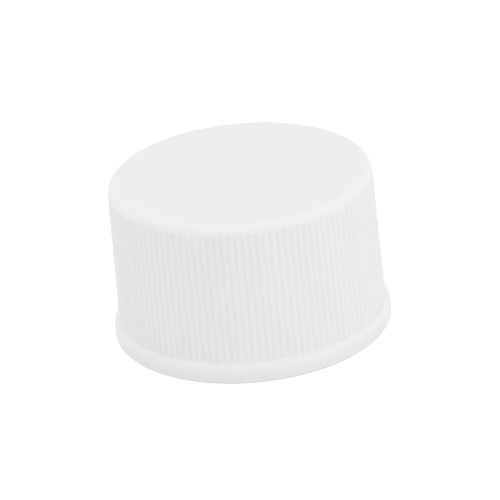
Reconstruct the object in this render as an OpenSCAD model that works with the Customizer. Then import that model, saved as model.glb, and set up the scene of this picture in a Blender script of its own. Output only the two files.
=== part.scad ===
// Septum screw cap for a 24 mm glass vial or bottle neck: a closed-top moulded cap with fine grip
// ribs, a base flange and a single-start inner thread, holding a silicone septum faced with PTFE.
// Millimetres. The origin is the centre of the open rim, and +Z runs up the axis to the top face.

/* [Skirt and top] */
// Height from the open rim to the top face
cap_h = 16.6; // [15.5:0.1:22]
// Thickness of the skirt at the mouth, up to the rib tips
wall_t = 1.2; // [1:0.05:2]
// Angle at which the skirt leans in towards the top
draft = 1.19; // [0.5:0.01:2]
// Thickness of the closed top
panel_t = 1.3; // [0.8:0.05:2]
// Radius of the round between the skirt and the top face
edge_r = 0.85; // [0.4:0.05:1.2]

/* [Grip ribs] */
// Number of ribs round the skirt
rib_count = 120; // [48:1:122]
// Radius of the round flutes between the ribs
flute_r = 0.33; // [0.28:0.01:0.34]
// Depth of the flutes
flute_depth = 0.1; // [0.08:0.01:0.2]
// Height over which a flute runs out to nothing at its upper end
flute_runout = 0.35; // [0.2:0.05:1]
// Plain band between the ends of the flutes and the top round
flute_stop = 0.05; // [0.05:0.05:1]

/* [Base flange] */
// How far the flange stands out from the rib tips
flange_reach = 0.5; // [0.3:0.05:0.9]
// Height of the flange at the foot of the ribs
flange_h = 2.15; // [1.8:0.05:3]
// Radius of the flange's rounded shoulder
shoulder_r = 1.2; // [1:0.05:1.5]
// Radius of the round at the outer foot of the flange
foot_r = 0.27; // [0.1:0.01:0.5]

/* [Neck thread] */
// Diameter of the bore between the turns of the thread
bore_d = 24.2; // [23.9:0.05:24.6]
// Height of the thread ridge above the bore wall
thread_depth = 1.05; // [0.8:0.05:1.2]
// Width of the thread ridge at the bore wall
thread_root_w = 2; // [1.6:0.05:2.2]
// Width of the thread ridge at its crest
thread_crest_w = 1; // [0.6:0.05:1.2]
// Rise of the thread in one turn
thread_pitch = 3.175; // [2.5:0.005:3.4]
// Length of the thread, in turns
thread_turns = 1.5; // [1:0.05:1.6]
// Angle over which each end of the thread fades into the wall
thread_fade = 45; // [20:5:90]
// Distance from the septum's sealing face down to the top of the thread ridge
thread_drop = 2.2; // [1.8:0.05:2.6]

/* [Mouth] */
// How much wider the plain mouth is than the bore, on the radius
mouth_step = 0.35; // [0.2:0.05:0.5]
// Depth of the plain mouth, measured from the open rim
mouth_depth = 2.5; // [1.5:0.1:2.8]
// Leg of the 45-degree lead-in chamfer at the open rim
mouth_chamfer = 0.3; // [0.1:0.05:0.5]

/* [Septum] */
// Diameter of the septum
septum_d = 22.6; // [22.3:0.05:23]
// Thickness of the silicone disc
silicone_t = 3; // [2:0.1:3.2]
// Thickness of the PTFE facing bonded under the silicone
facing_t = 0.2; // [0.1:0.01:0.3]
// Gap round the septum in its pocket
septum_gap = 0.15; // [0.05:0.01:0.3]
// Radius of the half-round bead that keeps the septum in its pocket
bead_r = 0.35; // [0.3:0.01:0.5]
// Gap between the septum and the bead
bead_gap = 0.05; // [0.02:0.01:0.15]

/* [Hidden] */
$fn = 120;
flute_fn = 24; // facets round the bar that cuts one flute
eps = 0.5; // how far a blank or a cutter runs past the face that it makes
thread_steps = 60; // stations in one turn of the thread
thread_sink = 0.3; // how far the ridge is rooted in the wall
crease = 8; // angle at which the top round crosses the skirt, so that the two never graze
ledge = 0.03; // flat left on the flange outside the rib tips

// Radii, from the bore outwards
bore_r = bore_d / 2;
crest_r = bore_r - thread_depth;
mouth_r = bore_r + mouth_step;
skirt_r = mouth_r + wall_t;
flange_r = skirt_r + flange_reach;

// Radius of the rib tips at height z: they lean in from the flange to the top
function tip_r(z) = skirt_r - (z - flange_h) * tan(draft);

// Top round: an arc tangent to the top face
round_z = cap_h - edge_r;
round_x = tip_r(round_z) - edge_r * cos(crease);

// Flange: the arc of its shoulder leaves the ledge at the rib tips and ends tangent to the side
shoulder_x = flange_r - shoulder_r;
shoulder_z = flange_h - sqrt(pow(shoulder_r, 2) - pow(skirt_r + ledge - shoulder_x, 2));

// Flutes: they start inside the flange and run out below the top round
foot_z = flange_h / 2;
flute_top = round_z + edge_r * sin(crease) - flute_stop;
flute_len = (flute_top - flute_runout - foot_z) / cos(draft);

// Heights inside, from the closed top down
panel_z = cap_h - panel_t;
facing_z = panel_z - silicone_t;
seal_z = facing_z - facing_t;
bead_z = seal_z - bead_gap - bead_r;
pocket_r = septum_d / 2 + septum_gap;
pocket_z = bead_z - bead_r;
bore_top_z = pocket_z - abs(bore_r - pocket_r);

// Middle of the ridge at the thread's lower end
thread_z = seal_z - thread_drop - thread_root_w / 2 - thread_turns * thread_pitch;

// The skirt's ribbed outside as a solid body, without the flange
module ribbed_body() {
    intersection() {
        difference() {
            cylinder(h = cap_h + eps, r1 = tip_r(0), r2 = tip_r(cap_h + eps));
            for (i = [0 : rib_count - 1])
                rotate(i * 360 / rib_count) flute();
        }
        rotate_extrude() top_envelope();
    }
}

// The bar that cuts one flute. It leans in with the draft, and its end tapers until it has left the
// wall.
module flute() {
    translate([tip_r(foot_z) - flute_depth + flute_r / cos(draft), 0, foot_z])
        rotate([0, -draft, 0]) {
            cylinder(h = flute_len, r = flute_r, $fn = flute_fn);
            translate([0, 0, flute_len])
                cylinder(h = 2 * flute_runout, r1 = flute_r, r2 = flute_r - 2 * flute_depth, $fn = flute_fn);
        }
}

// Half section of what the top round leaves: all of the skirt, and the top inside the round
module top_envelope() {
    square([flange_r, round_z]);
    translate([round_x, round_z]) circle(edge_r, $fn = 64);
    square([round_x, cap_h]);
}

// Half section of the base flange
module flange_section() {
    foot_x = flange_r - foot_r;
    square([foot_x, shoulder_z]);
    translate([foot_x, foot_r]) circle(foot_r, $fn = 48);
    translate([0, foot_r]) square([flange_r, shoulder_z - foot_r]);
    square([shoulder_x, flange_h]);
    intersection() {
        translate([shoulder_x, shoulder_z]) circle(shoulder_r, $fn = 96);
        square([2 * flange_r, flange_h]);
    }
}

// Half section of the room inside the cap
module cavity_section() {
    polygon([
        [0, -eps],
        [mouth_r + mouth_chamfer + eps, -eps],
        [mouth_r, mouth_chamfer],
        [mouth_r, mouth_depth],
        [bore_r, mouth_depth + mouth_step],
        [bore_r, bore_top_z],
        [pocket_r, pocket_z],
        [pocket_r, panel_z],
        [0, panel_z]
    ]);
}

// Half-round bead under the septum
module bead() {
    rotate_extrude() translate([pocket_r, bead_z]) circle(bead_r, $fn = 32);
}

// How far the ridge has grown out of the wall, from 0 to 1, at angle a along the thread
function growth(a) =
    let (run = min(a, thread_turns * 360 - a))
    run >= thread_fade ? 1 : sin(90 * run / thread_fade);

// One station of the ridge: a trapezoid rooted in the wall, with its crest towards the axis
function ridge_station(a) =
    let (
        root = bore_r + thread_sink,
        tip = crest_r + (thread_depth + thread_sink / 2) * (1 - growth(a)),
        slope = (thread_root_w - thread_crest_w) / 2 / thread_depth,
        tip_w = thread_crest_w / 2 * (1 + growth(a)) / 2,
        root_w = tip_w + (root - tip) * slope,
        z = thread_z + thread_pitch * a / 360
    )
    [for (p = [[root, -root_w], [tip, -tip_w], [tip, tip_w], [root, root_w]])
        [p[0] * cos(a), p[0] * sin(a), z + p[1]]];

// The single-start, right-hand ridge of the neck thread
module thread_ridge() {
    count = round(thread_turns * thread_steps);
    points = [for (i = [0 : count]) each ridge_station(i * thread_turns * 360 / count)];
    sides = [for (i = [0 : count - 1], k = [0 : 3])
        let (a = 4 * i + k, b = 4 * i + (k + 1) % 4)
        each [[a, b + 4, b], [a, a + 4, b + 4]]];
    polyhedron(points, concat([[0, 1, 2, 3]], sides, [[for (k = [0 : 3]) 4 * count + 3 - k]]));
}

// The moulded cap, one piece
module cap_shell() {
    color("white") union() {
        difference() {
            union() {
                ribbed_body();
                rotate_extrude() flange_section();
            }
            rotate_extrude() cavity_section();
        }
        bead();
        thread_ridge();
    }
}

// The soft disc under the closed top
module septum() {
    color("whitesmoke") translate([0, 0, facing_z]) cylinder(h = silicone_t, d = septum_d);
}

// The thin facing that seals on the bottle
module septum_facing() {
    color("antiquewhite") translate([0, 0, seal_z]) cylinder(h = facing_t, d = septum_d);
}

cap_shell();
septum();
septum_facing();
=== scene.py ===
import math

import bmesh
import bpy
import numpy as np
from mathutils import Matrix, Vector


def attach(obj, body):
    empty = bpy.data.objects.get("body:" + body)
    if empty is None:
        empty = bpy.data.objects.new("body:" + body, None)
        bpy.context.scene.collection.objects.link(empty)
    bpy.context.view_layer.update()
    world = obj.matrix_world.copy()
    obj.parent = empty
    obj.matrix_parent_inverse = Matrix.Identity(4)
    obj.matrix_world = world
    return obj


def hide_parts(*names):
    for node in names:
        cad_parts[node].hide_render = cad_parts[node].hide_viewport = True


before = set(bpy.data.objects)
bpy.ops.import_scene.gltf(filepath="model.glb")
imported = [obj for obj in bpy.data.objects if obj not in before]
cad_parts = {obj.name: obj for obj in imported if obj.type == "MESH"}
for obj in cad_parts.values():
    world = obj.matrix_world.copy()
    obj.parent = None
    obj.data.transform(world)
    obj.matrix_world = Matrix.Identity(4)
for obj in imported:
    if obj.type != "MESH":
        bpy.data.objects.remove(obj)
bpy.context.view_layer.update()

# Sizes of the cap in millimetres. Radii are from the axis and heights from the open rim.
MM = 0.001
CAP_H = 16.6
PANEL_Z = 15.3
EDGE_R = 0.85
DRAFT = math.radians(1.19)
CREASE = math.radians(8)

# The flutes end as balls at the top, from FLUTE_END up, and in a curve as high as FOOT_FILLET on the
# flange. The land of each rib between two flutes has the round LAND_R. From EASE_Z up the wall eases
# inwards into the top round.
RIB_COUNT = 120
FLUTE_DEPTH = 0.1
FLUTE_END = 15.42
LAND_R = 0.2
FOOT_FILLET = 0.5
EASE_Z = 15.2

SKIRT_R = 13.65
FLANGE_R = 14.15
FLANGE_H = 2.15
SHOULDER_R = 1.2
FOOT_R = 0.27
LEDGE = 0.03

BORE_R = 12.1
THREAD_DEPTH = 1.05
THREAD_ROOT_W = 2.0
THREAD_CREST_W = 1.0
THREAD_PITCH = 3.175
THREAD_TURNS = 1.5
THREAD_FADE = 45
THREAD_Z = 4.1375

MOUTH_R = 12.45
MOUTH_DEPTH = 2.5
MOUTH_STEP = 0.35
MOUTH_CHAMFER = 0.3

POCKET_R = 11.45
POCKET_Z = 11.35
BORE_TOP_Z = 10.7
BEAD_R = 0.35
BEAD_Z = 11.7

SEPTUM_R = 11.3
FACING_Z = 12.3
SEAL_Z = 12.1

# Small gaps between rings of points: between a round and the flat beside it, which keeps the flat
# evenly lit, and between the ribs' foot and the outer edge of the ledge
HOLD = 0.05
TOP_HOLD = 0.06
FOOT_GAP = 0.005

# Columns of faces round the axis: ten to each rib, closest on its land, half as many on the flange
# and half as many again inside
PHASES = np.array([0, 0.13, 0.25, 0.34, 0.42, 0.5, 0.58, 0.66, 0.75, 0.87])
RIBBED = (np.arange(RIB_COUNT)[:, None] + PHASES).ravel() * 2 * math.pi / RIB_COUNT
FLANGE = np.arange(len(RIBBED) // 2) * 4 * math.pi / len(RIBBED)
INSIDE = FLANGE[::2]


# ---------------------------------------------------------------- shapes


class Shell:
    """A surface round the axis, gathered ring by ring in millimetres and welded into one mesh."""

    def __init__(self):
        self.points = []
        self.faces = []

    def add(self, radius, height, turn):
        """Adds points in polar form and returns their numbers."""
        radius, height, turn = np.broadcast_arrays(radius, height, turn)
        spots = np.stack([radius * np.cos(turn), radius * np.sin(turn), height], axis=-1)
        first = len(self.points)
        self.points.extend(spots.reshape(-1, 3).tolist())
        return np.arange(first, first + radius.size).reshape(radius.shape)

    def bridge(self, start, end):
        """Faces from one ring to the next, both with the same number of points."""
        following = np.roll(start, -1), np.roll(end, -1)
        self.faces.extend(np.stack([start, following[0], following[1], end], axis=1).tolist())

    def double(self, few, many):
        """Faces from a ring to one with twice as many points."""
        middle = many[1::2]
        corners = np.roll(few, -1), np.roll(many[::2], -1)
        self.faces.extend(np.stack([few, middle, many[::2]], axis=1).tolist())
        self.faces.extend(np.stack([few, corners[0], middle], axis=1).tolist())
        self.faces.extend(np.stack([corners[0], corners[1], middle], axis=1).tolist())

    def sweep(self, path, columns, start=None):
        """Rings along a path of (radius, height), joined to the ring before it. Returns the last."""
        for radius, height in path:
            ring = self.add(radius, height, columns)
            if start is not None:
                self.bridge(start, ring)
            start = ring
        return start

    def close(self, ring, height, opening):
        """Fills a ring with a fan round a point on the axis. opening is true where a path starts."""
        centre = len(self.points)
        self.points.append([0.0, 0.0, height])
        following = np.roll(ring, -1)
        for a, b in zip(ring.tolist(), following.tolist()):
            self.faces.append([centre, b, a] if opening else [centre, a, b])

    def piece(self, name):
        """The welded object, in metres, smooth shaded."""
        mesh = bpy.data.meshes.new(name)
        mesh.from_pydata((np.array(self.points) * MM).tolist(), [], self.faces)
        work = bmesh.new()
        work.from_mesh(mesh)
        bmesh.ops.remove_doubles(work, verts=work.verts, dist=1e-7)
        work.to_mesh(mesh)
        work.free()
        mesh.shade_smooth()
        obj = bpy.data.objects.new(name, mesh)
        bpy.context.scene.collection.objects.link(obj)
        return obj


def rounded(corners, steps=4, hold=HOLD):
    """The path through (radius, height, rounding) corners. Each rounded corner is a small curve with
    a short straight run kept on both sides of it, so that the flats beside it stay flat in the light."""
    path = []
    for i, (x, z, rounding) in enumerate(corners):
        corner = np.array([x, z])
        if not rounding:
            path.append(corner)
            continue
        back = np.array(corners[i - 1][:2]) - corner
        ahead = np.array(corners[i + 1][:2]) - corner
        back /= np.linalg.norm(back)
        ahead /= np.linalg.norm(ahead)
        path.append(corner + back * (rounding + hold))
        for t in np.linspace(0, 1, steps + 1):
            path.append(corner + back * rounding * (1 - t) ** 2 + ahead * rounding * t**2)
        path.append(corner + ahead * (rounding + hold))
    return path


def arc(x, z, radius, start, end, steps):
    """Points on an arc in the half section, from one angle to another in radians."""
    return [
        np.array([x + radius * math.cos(a), z + radius * math.sin(a)])
        for a in np.linspace(start, end, steps + 1)
    ]


def tip_radius(height):
    """Radius of the rib tips, which lean in towards the top."""
    return SKIRT_R - (height - FLANGE_H) * math.tan(DRAFT)


def flute_depths(beyond):
    """Depth below the rib tips at each column, this far above the centre of the flutes' ball ends:
    small round lands that run into wide round flutes."""
    half_pitch = math.pi * SKIRT_R / RIB_COUNT
    both = (half_pitch**2 + FLUTE_DEPTH**2) / (2 * FLUTE_DEPTH)
    flute_r = both - LAND_R
    turnover = half_pitch * LAND_R / both
    aside = np.tile(1 - np.abs(2 * PHASES - 1), RIB_COUNT) * half_pitch
    from_middle = np.hypot(aside, beyond)
    from_tip = np.maximum(half_pitch - from_middle, 0)
    land = LAND_R - np.sqrt(LAND_R**2 - np.minimum(from_tip, turnover) ** 2)
    inside = np.minimum(from_middle, half_pitch - turnover)
    flute = FLUTE_DEPTH - flute_r + np.sqrt(flute_r**2 - inside**2)
    return np.where(from_tip < turnover, land, flute)


def ribbed_wall(shell, ledge_ring):
    """The ribs from the flange up to the flutes' ball ends, and the top round above them. The wall
    eases into the round, so that no line shows where they meet."""
    lean = math.tan(DRAFT)
    round_z = CAP_H - EDGE_R
    edge = round_z + EDGE_R * math.sin(CREASE)
    bend = (math.tan(CREASE) - lean) / (edge - EASE_Z) / 2
    depth = flute_depths(0)
    out = depth + LEDGE - FOOT_GAP
    rings = []
    for turn in np.linspace(0, math.pi / 2, 6):
        rise = FOOT_FILLET * (1 - math.cos(turn))
        rings.append((SKIRT_R - lean * rise - depth + out * (1 - math.sin(turn)), FLANGE_H + rise))
    for height in (FLANGE_H + FOOT_FILLET + HOLD, 6.5, 11, EASE_Z):
        rings.append((tip_radius(height) - depth, height))
    for height in np.linspace(EASE_Z, edge, 13)[1:]:
        eased = tip_radius(height) - bend * (height - EASE_Z) ** 2
        rings.append((eased - flute_depths(max(height - FLUTE_END, 0)), height))
    round_x = eased - EDGE_R * math.cos(CREASE)
    for turn in np.linspace(CREASE, math.pi / 2, 12)[1:]:
        rings.append((round_x + EDGE_R * math.cos(turn), round_z + EDGE_R * math.sin(turn)))
    rings.append((round_x - TOP_HOLD, CAP_H))
    first = shell.add(*rings[0], RIBBED)
    shell.double(ledge_ring, first)
    return shell.sweep(rings[1:], RIBBED, first)


def flange_path():
    """Half section of the rim face, the foot, the side and the shoulder, up to the ledge."""
    shoulder_x = FLANGE_R - SHOULDER_R
    top = math.acos((SKIRT_R + LEDGE - shoulder_x) / SHOULDER_R)
    shoulder_z = FLANGE_H - SHOULDER_R * math.sin(top)
    foot = arc(FLANGE_R - FOOT_R, FOOT_R, FOOT_R, -math.pi / 2, 0, 6)
    shoulder = arc(shoulder_x, shoulder_z, SHOULDER_R, 0, top, 10)
    return [foot[0] - (HOLD, 0), *foot, foot[-1] + (0, HOLD), shoulder[0] - (0, HOLD), *shoulder]


def mouth_path():
    """Half section from the foot of the thread's bore down to the rim face."""
    return rounded(
        [
            (BORE_R, MOUTH_DEPTH + MOUTH_STEP, 0),
            (BORE_R, MOUTH_DEPTH + MOUTH_STEP - 0.01, 0),
            (MOUTH_R, MOUTH_DEPTH, 0.08),
            (MOUTH_R, MOUTH_CHAMFER, 0.06),
            (MOUTH_R + MOUTH_CHAMFER, 0, 0.06),
            (FLANGE_R - FOOT_R - 0.3, 0, 0),
        ]
    )


def pocket_path():
    """Half section of the septum's pocket, its bead and the slope down to the thread's bore."""
    bead = arc(POCKET_R, BEAD_Z, BEAD_R, math.radians(110), math.radians(250), 12)
    return rounded(
        [
            (POCKET_R - 0.4, PANEL_Z, 0),
            (POCKET_R, PANEL_Z, 0.1),
            (POCKET_R, BEAD_Z + BEAD_R, 0.05),
            *[(x, z, 0) for x, z in bead],
            (POCKET_R, POCKET_Z, 0.05),
            (BORE_R, BORE_TOP_Z, 0.1),
            (BORE_R, BORE_TOP_Z - 0.3, 0),
        ]
    )


def ridge_rise(offset):
    """Share of the thread's height at this distance from the ridge's middle, along the axis."""
    soft = 0.08
    root = THREAD_ROOT_W / 2 + soft
    crest = THREAD_CREST_W / 2 - soft
    t = np.clip((root - np.abs(offset)) / (root - crest), 0, 1)
    return t * t * (3 - 2 * t)


def thread_growth(angle):
    """Share of the ridge's full height at this angle along the thread, in degrees."""
    run = np.minimum(angle, THREAD_TURNS * 360 - angle)
    return np.sin(np.radians(90) * np.clip(run / THREAD_FADE, 0, 1))


def thread_zone(shell, low, high):
    """The bore between two heights with the ridge raised from it. The grid climbs with the thread,
    so its rows follow the ridge; rows past either end lie on the end ring and are welded there."""
    half = np.array([0, 0.25, 0.42, 0.5, 0.58, 0.66, 0.75, 0.83, 0.91, 1, 1.08, 1.3])
    offset = np.concatenate([[-THREAD_PITCH / 2], -half[:0:-1], half])
    turns = 4
    turn_columns = len(INSIDE)
    count = turns * turn_columns + 1
    along = (np.arange(count) / turn_columns - 1) * 360
    middle = THREAD_Z + THREAD_PITCH * along / 360
    height = np.clip(middle[:, None] + offset[None, :], low, high)
    rise = thread_growth(along)[:, None] * ridge_rise(offset)[None, :]
    turn = np.radians(np.round(along % 360, 9))
    grid = shell.add(BORE_R - THREAD_DEPTH * rise, height, turn[:, None])
    # the row above a turn's last is the next turn's first
    above = np.full((count, 1), -1)
    above[:-turn_columns, 0] = grid[turn_columns:, 0]
    rows = np.hstack([grid, above])
    cells = np.stack([rows[:-1, 1:], rows[1:, 1:], rows[1:, :-1], rows[:-1, :-1]], axis=-1)
    cells = cells.reshape(-1, 4)
    shell.faces.extend(cells[(cells >= 0).all(axis=1)].tolist())


def cap_shell():
    """The moulded cap, as one closed surface that starts and ends on the axis."""
    shell = Shell()
    pocket = pocket_path()
    mouth = mouth_path()
    flange = flange_path()
    first = shell.sweep(pocket[:1], INSIDE)
    shell.close(first, PANEL_Z, opening=True)
    shell.sweep(pocket[1:], INSIDE, first)
    thread_zone(shell, low=mouth[0][1], high=pocket[-1][1])
    rim = shell.sweep(mouth, INSIDE)
    foot = shell.sweep(flange[:1], FLANGE)
    shell.double(rim, foot)
    ledge = shell.sweep(flange[1:], FLANGE, foot)
    last = ribbed_wall(shell, ledge)
    shell.close(last, CAP_H, opening=False)
    return shell.piece("cap_body")


def disc(name, radius, low, high, edge):
    """A flat disc with rounded edges."""
    shell = Shell()
    path = rounded(
        [
            (radius - 1, low, 0),
            (radius, low, edge),
            (radius, high, edge),
            (radius - 1, high, 0),
        ],
        hold=0.02,
    )
    first = shell.sweep(path[:1], INSIDE)
    shell.close(first, low, opening=True)
    last = shell.sweep(path[1:], INSIDE, first)
    shell.close(last, high, opening=False)
    return shell.piece(name)


# ---------------------------------------------------------------- materials


class Nodes:
    """A material's node tree, with its Principled shader and object coordinates in millimetres."""

    def __init__(self, name):
        self.material = bpy.data.materials.new(name)
        self.material.use_nodes = True
        self.tree = self.material.node_tree
        self.shader = self.tree.nodes["Principled BSDF"]
        self.coordinates = self.add("ShaderNodeTexCoord")
        self.millimetres = self.add("ShaderNodeVectorMath", operation="SCALE")
        self.millimetres.inputs["Scale"].default_value = 1 / MM
        self.link(self.coordinates.outputs["Object"], self.millimetres.inputs[0])

    def add(self, kind, **settings):
        node = self.tree.nodes.new(kind)
        for key, value in settings.items():
            setattr(node, key, value)
        return node

    def link(self, output, socket):
        self.tree.links.new(output, socket)

    def set(self, **values):
        for key, value in values.items():
            self.shader.inputs[key.replace("_", " ")].default_value = value

    def noise(self, size, detail=2.0, roughness=0.5):
        """Noise whose features are about this many millimetres across."""
        node = self.add("ShaderNodeTexNoise")
        node.inputs["Scale"].default_value = 1 / size
        node.inputs["Detail"].default_value = detail
        node.inputs["Roughness"].default_value = roughness
        self.link(self.millimetres.outputs[0], node.inputs["Vector"])
        return node.outputs["Fac"]

    def remap(self, value, low, high, start=0.3, end=0.7):
        node = self.add("ShaderNodeMapRange")
        node.inputs["From Min"].default_value = start
        node.inputs["From Max"].default_value = end
        node.inputs["To Min"].default_value = low
        node.inputs["To Max"].default_value = high
        self.link(value, node.inputs["Value"])
        return node.outputs["Result"]

    def colour(self, value, dark, light):
        """The shader's colour, between two colours by a value that runs from 0 to 1."""
        node = self.add("ShaderNodeMix", data_type="RGBA")
        node.inputs[6].default_value = (*dark, 1)
        node.inputs[7].default_value = (*light, 1)
        self.link(value, node.inputs[0])
        self.link(node.outputs[2], self.shader.inputs["Base Color"])

    def roughness(self, value, low, high):
        self.link(self.remap(value, low, high), self.shader.inputs["Roughness"])

    def bump(self, layers):
        """Bump from (value, height in millimetres) layers, each on top of the one before."""
        normal = None
        for value, height in layers:
            node = self.add("ShaderNodeBump")
            node.inputs["Strength"].default_value = 1
            node.inputs["Distance"].default_value = height * MM
            self.link(value, node.inputs["Height"])
            if normal is not None:
                self.link(normal, node.inputs["Normal"])
            normal = node.outputs["Normal"]
        self.link(normal, self.shader.inputs["Normal"])


def moulded_plastic():
    """White polypropylene with a satin moulded skin."""
    nodes = Nodes("white_polypropylene")
    nodes.set(IOR=1.49, Specular_IOR_Level=0.4)
    nodes.set(Subsurface_Weight=1, Subsurface_Radius=(1, 1, 1), Subsurface_Scale=0.4 * MM)
    clouds = nodes.noise(size=6, detail=3)
    grain = nodes.noise(size=0.12, detail=2)
    waves = nodes.noise(size=1.6, detail=2)
    nodes.colour(nodes.remap(clouds, 0, 1), (0.85, 0.85, 0.852), (0.86, 0.86, 0.86))
    nodes.roughness(nodes.noise(size=0.8, detail=3), 0.5, 0.6)
    nodes.bump([(waves, 0.001), (grain, 0.0006)])
    return nodes.material


def silicone():
    """Matt white silicone rubber."""
    nodes = Nodes("white_silicone")
    nodes.set(IOR=1.41)
    clouds = nodes.noise(size=1.2, detail=4)
    nodes.colour(nodes.remap(clouds, 0, 1), (0.76, 0.76, 0.74), (0.82, 0.82, 0.8))
    nodes.roughness(nodes.noise(size=0.5), 0.55, 0.68)
    nodes.bump([(nodes.noise(size=0.25, detail=3), 0.004)])
    return nodes.material


def ptfe():
    """Smooth beige film, with the faint streaks that skiving leaves."""
    nodes = Nodes("beige_ptfe")
    nodes.set(IOR=1.38)
    stretch = nodes.add("ShaderNodeVectorMath", operation="MULTIPLY")
    stretch.inputs[1].default_value = (0.12, 1, 1)
    nodes.link(nodes.millimetres.outputs[0], stretch.inputs[0])
    streaks = nodes.add("ShaderNodeTexNoise")
    streaks.inputs["Scale"].default_value = 3
    streaks.inputs["Detail"].default_value = 4
    nodes.link(stretch.outputs[0], streaks.inputs["Vector"])
    value = streaks.outputs["Fac"]
    nodes.colour(nodes.remap(value, 0, 1), (0.64, 0.55, 0.42), (0.7, 0.61, 0.48))
    nodes.roughness(value, 0.38, 0.5)
    nodes.bump([(value, 0.003)])
    return nodes.material


# ---------------------------------------------------------------- studio

# The floor, just below the rim so that the two faces don't coincide: its grey, and the glow that
# turns it white to the camera where nothing shades it
FLOOR_Z = -0.01
FLOOR_GREY = 0.82
FLOOR_GLOW = 0.8

# The camera: lens in millimetres, aim in degrees, and its shift and distance from the origin in metres
LENS = 248.4
AZIMUTH = -1.1
ELEVATION = 24.949
ROLL = -5.606
SHIFT = (-0.00038, 0.00718)
DISTANCE = 0.3524


def seen_directly(tree):
    """1 for camera, glossy and transmission rays, which see the pale backdrop, and otherwise 0."""
    path = tree.nodes.new("ShaderNodeLightPath")
    total = path.outputs["Is Camera Ray"]
    for name in ("Is Glossy Ray", "Is Transmission Ray"):
        node = tree.nodes.new("ShaderNodeMath")
        node.operation = "MAXIMUM"
        tree.links.new(total, node.inputs[0])
        tree.links.new(path.outputs[name], node.inputs[1])
        total = node.outputs[0]
    return total


def add_world(strength):
    """A plain white surround: full white where it is seen, softer where it lights."""
    world = bpy.data.worlds.new("studio")
    world.use_nodes = True
    tree = world.node_tree
    level = tree.nodes.new("ShaderNodeMapRange")
    level.inputs["To Min"].default_value = strength
    level.inputs["To Max"].default_value = 1
    tree.links.new(seen_directly(tree), level.inputs["Value"])
    background = tree.nodes["Background"]
    background.inputs["Color"].default_value = (1, 1, 1, 1)
    tree.links.new(level.outputs["Result"], background.inputs["Strength"])
    bpy.context.scene.world = world


def add_floor():
    """A pale floor that keeps the object's shadow and is white where it is open."""
    bpy.ops.mesh.primitive_plane_add(size=4, location=(0, 0, FLOOR_Z * MM))
    floor = bpy.context.object
    floor.name = "floor"
    material = bpy.data.materials.new("pale_floor")
    material.use_nodes = True
    tree = material.node_tree
    shader = tree.nodes["Principled BSDF"]
    shader.inputs["Base Color"].default_value = (FLOOR_GREY, FLOOR_GREY, FLOOR_GREY, 1)
    shader.inputs["Roughness"].default_value = 0.9
    shader.inputs["Specular IOR Level"].default_value = 0
    shader.inputs["Emission Color"].default_value = (1, 1, 1, 1)
    glow = tree.nodes.new("ShaderNodeMath")
    glow.operation = "MULTIPLY"
    glow.inputs[1].default_value = FLOOR_GLOW
    tree.links.new(seen_directly(tree), glow.inputs[0])
    tree.links.new(glow.outputs[0], shader.inputs["Emission Strength"])
    floor.data.materials.append(material)


def add_lamp(name, watts, size, azimuth, elevation, distance=0.6):
    """A soft square lamp that looks at the cap. Azimuth 0 is in front and 90 to the right."""
    a, e = math.radians(azimuth), math.radians(elevation)
    data = bpy.data.lights.new(name, "AREA")
    data.energy = watts
    data.size = size
    lamp = bpy.data.objects.new(name, data)
    towards = Vector((math.sin(a) * math.cos(e), -math.cos(a) * math.cos(e), math.sin(e)))
    lamp.location = towards * distance
    lamp.rotation_euler = lamp.location.to_track_quat("Z", "Y").to_euler()
    bpy.context.scene.collection.objects.link(lamp)


def add_camera():
    """A long lens at a slight roll, looking down at the cap from the front."""
    data = bpy.data.cameras.new("camera")
    data.sensor_width = 36
    data.lens = LENS
    data.clip_start = 0.01
    data.clip_end = 20
    camera = bpy.data.objects.new("camera", data)
    bpy.context.scene.collection.objects.link(camera)
    camera.matrix_world = (
        Matrix.Rotation(math.radians(AZIMUTH), 4, "Z")
        @ Matrix.Rotation(math.radians(90 - ELEVATION), 4, "X")
        @ Matrix.Rotation(math.radians(ROLL), 4, "Z")
        @ Matrix.Translation((*SHIFT, DISTANCE))
    )
    bpy.context.scene.camera = camera


def place(piece, node, material):
    """Puts a piece in the frame: it rides on the root body and stands for its CAD node."""
    piece.data.materials.append(material)
    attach(piece, "root")
    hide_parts(node)


# ---------------------------------------------------------------- scene

bpy.context.scene.view_settings.view_transform = "Standard"

place(cap_shell(), "cap_shell", moulded_plastic())
place(disc("septum_disc", SEPTUM_R, FACING_Z, PANEL_Z, 0.1), "septum", silicone())
place(disc("facing_film", SEPTUM_R, SEAL_Z, FACING_Z, 0.04), "septum_facing", ptfe())

add_world(0.935)
add_floor()
add_lamp("key", 0.49, 0.42, azimuth=50, elevation=12)
add_lamp("fill", 0.13, 0.4, azimuth=-62, elevation=32)
add_camera()
